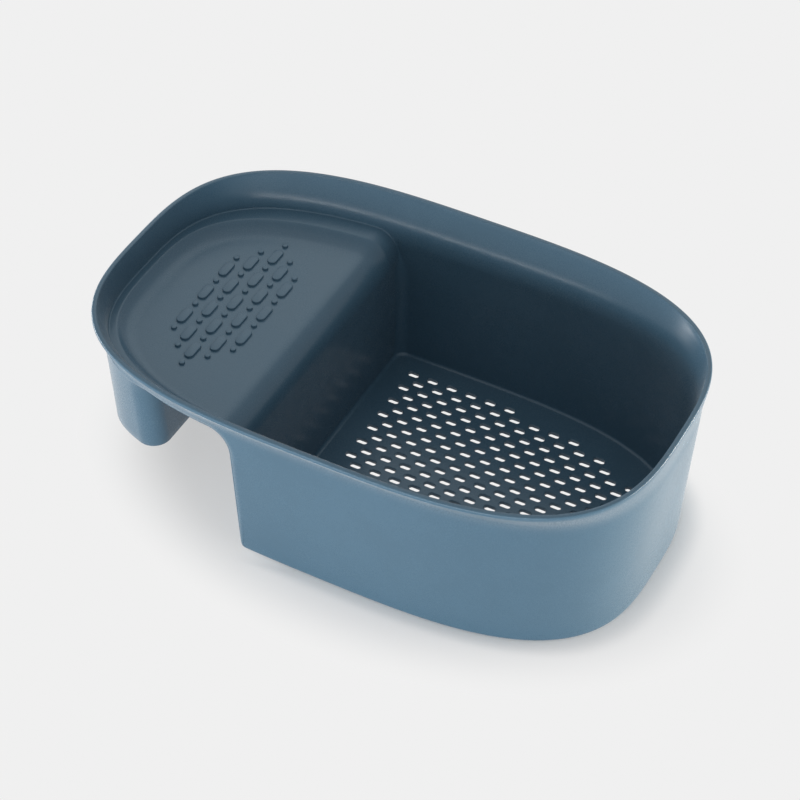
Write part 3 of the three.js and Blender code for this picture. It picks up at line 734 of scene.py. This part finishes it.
def painted_glow_share(tree):
    """Share of the floor's painted white glow, from 0 in the deepest shade to 1.

    The glow is painted light that lifts the basket's shadow. It grows with the plan distance from the
    basket, measured in the shadow's half sizes, so it fades the shadow out further off. It falls away
    along the foot of the wall, measured by |x|^3 + |y|^3 in the foot's half sizes, and is whole under
    the drain slots, where the floor lies in the basket's shade.
    """
    place = tree.nodes.new("ShaderNodeTexCoord").outputs["Object"]

    def plan(centre, half_sizes):
        """Place in plan from a centre, measured in half sizes."""
        node = tree.nodes.new("ShaderNodeMapping")
        node.vector_type = "TEXTURE"
        settle(node, {"Location": centre, "Scale": half_sizes})
        tree.links.new(place, node.inputs["Vector"])
        return node.outputs["Vector"]

    def vector(operation, output, *sources):
        """One step of arithmetic on vectors."""
        return reckon(tree, operation, *sources, kind="ShaderNodeVectorMath", output=output)

    def step(source, near, far, low, high):
        """Soft step of a value from low to high."""
        return remap(tree, source, near, far, low, high, curve="SMOOTHSTEP")

    split = tree.nodes.new("ShaderNodeSeparateXYZ")
    tree.links.new(place, split.inputs["Vector"])
    along = split.outputs["X"]
    around = vector("LENGTH", "Value", plan(SHADOW_CENTRE, SHADOW_HALF))
    base = plan(BASE_CENTRE, BASE_HALF)
    foot = vector("DOT_PRODUCT", "Value", vector("ABSOLUTE", "Vector", base),
                  vector("MULTIPLY", "Vector", base, base))
    # Painted light: the glow grows away from the basket and fades its shadow out.
    far_off = step(around, 0.85, 1.3, 0.45, 1.0)
    off_foot = step(foot, 1.0, 1.36, 0.15, 1.0)
    beside_gap = step(along, -0.045, 0.0, 1.0, 0.0)
    outside = reckon(tree, "MULTIPLY", far_off, reckon(tree, "MAXIMUM", off_foot, beside_gap))
    # Painted light: under the drain slots the floor glows whole white though it lies in the basket's
    # shade.
    within_foot = step(foot, 0.72, 0.86, 1.0, 0.0)
    past_divider = step(along, -0.046, -0.038, 0.0, 1.0)
    inside = reckon(tree, "MULTIPLY", within_foot, past_divider)
    return reckon(tree, "MAXIMUM", outside, inside)


def studio_floor():
    """Floor with the basket's soft shadow, which a painted near white glow evens out further off and
    paints over under the drain slots.
    """
    mesh = bpy.data.meshes.new("studio_floor")
    h = FLOOR_HALF
    mesh.from_pydata([(-h, -h, 0.0), (h, -h, 0.0), (h, h, 0.0), (-h, h, 0.0)], [], [(0, 1, 2, 3)])
    floor = bpy.data.objects.new("studio_floor", mesh)
    bpy.context.scene.collection.objects.link(floor)
    material = bpy.data.materials.new("pale_floor")
    material.use_nodes = True
    tree = material.node_tree
    nodes, links = tree.nodes, tree.links
    shader = nodes["Principled BSDF"]
    settle(shader, {"Base Color": (0.93, 0.93, 0.925, 1.0)})
    settle(shader, {"Roughness": 0.9, "Specular IOR Level": 0.0})
    # Painted glow of the floor, which paints light over the basket's shadow wherever its share is
    # high.
    painted_glow = nodes.new("ShaderNodeEmission")
    settle(painted_glow, {"Color": (PAPER, PAPER, PAPER, 1.0)})
    mixed = nodes.new("ShaderNodeMixShader")
    links.new(reckon(tree, "MULTIPLY", painted_glow_share(tree), seen_rays(tree)), mixed.inputs["Fac"])
    links.new(shader.outputs["BSDF"], mixed.inputs[1])
    links.new(painted_glow.outputs["Emission"], mixed.inputs[2])
    links.new(mixed.outputs["Shader"], nodes["Material Output"].inputs["Surface"])
    mesh.materials.append(material)


def studio_world():
    """Even soft light from all round, seen and mirrored as the same near white as the floor: in
    glossy rays a painted reflection brighter than the light it gives.
    """
    world = bpy.data.worlds.new("studio")
    world.use_nodes = True
    tree = world.node_tree
    background = tree.nodes["Background"]
    strength = tree.nodes.new("ShaderNodeMix")
    settle(strength, {"A": FILL, "B": PAPER})
    # Painted reflection: glossy rays see the backdrop brighter than the light it casts; camera rays
    # see the near white backdrop.
    tree.links.new(seen_rays(tree), strength.inputs["Factor"])
    tree.links.new(strength.outputs["Result"], background.inputs["Strength"])
    settle(background, {"Color": (1.0, 1.0, 1.0, 1.0)})
    bpy.context.scene.world = world


def softbox(name, place, target, width, height, power, tint=(1.0, 1.0, 1.0)):
    """Flat lamp at a place, turned to a target."""
    lamp = bpy.data.lights.new(name, "AREA")
    lamp.shape = "RECTANGLE"
    lamp.size, lamp.size_y, lamp.energy, lamp.color = width, height, power, tint
    box = bpy.data.objects.new(name, lamp)
    box.location = place
    box.rotation_euler = (Vector(target) - Vector(place)).to_track_quat("-Z", "Y").to_euler()
    bpy.context.scene.collection.objects.link(box)


studio_floor()
studio_world()
# Each lamp's place and target, width and height, power and tint
softbox("front_strip", (0.1, -1.6, 0.16), (0.0, 0.0, 0.10), 1.8, 0.3, 25.0)
softbox("left_strip", (-1.5, 0.0, 0.14), (0.0, 0.0, 0.10), 1.2, 0.26, 20.0)
softbox("right_strip", (1.3, 0.7, 0.05), (0.0, 0.0, 0.05), 1.2, 0.09, 40.0, (1.0, 0.87, 0.77))
softbox("back_softbox", (-0.6, 1.45, 1.5), (0.0, 0.0, 0.05), 1.4, 1.1, 5.8, (0.8, 0.94, 1.0))
softbox("top_softbox", (-0.4, 0.4, 1.7), (0.0, 0.0, 0.0), 1.2, 1.2, 1.5)

scene = bpy.context.scene
scene.view_settings.view_transform = "Standard"

lens = bpy.data.cameras.new("photo_view")
lens.sensor_width = SENSOR
lens.lens = LENS
camera = bpy.data.objects.new("photo_view", lens)
camera.location = CAMERA_PLACE
camera.rotation_euler = [math.radians(turn) for turn in CAMERA_TURN]
scene.collection.objects.link(camera)
scene.camera = camera
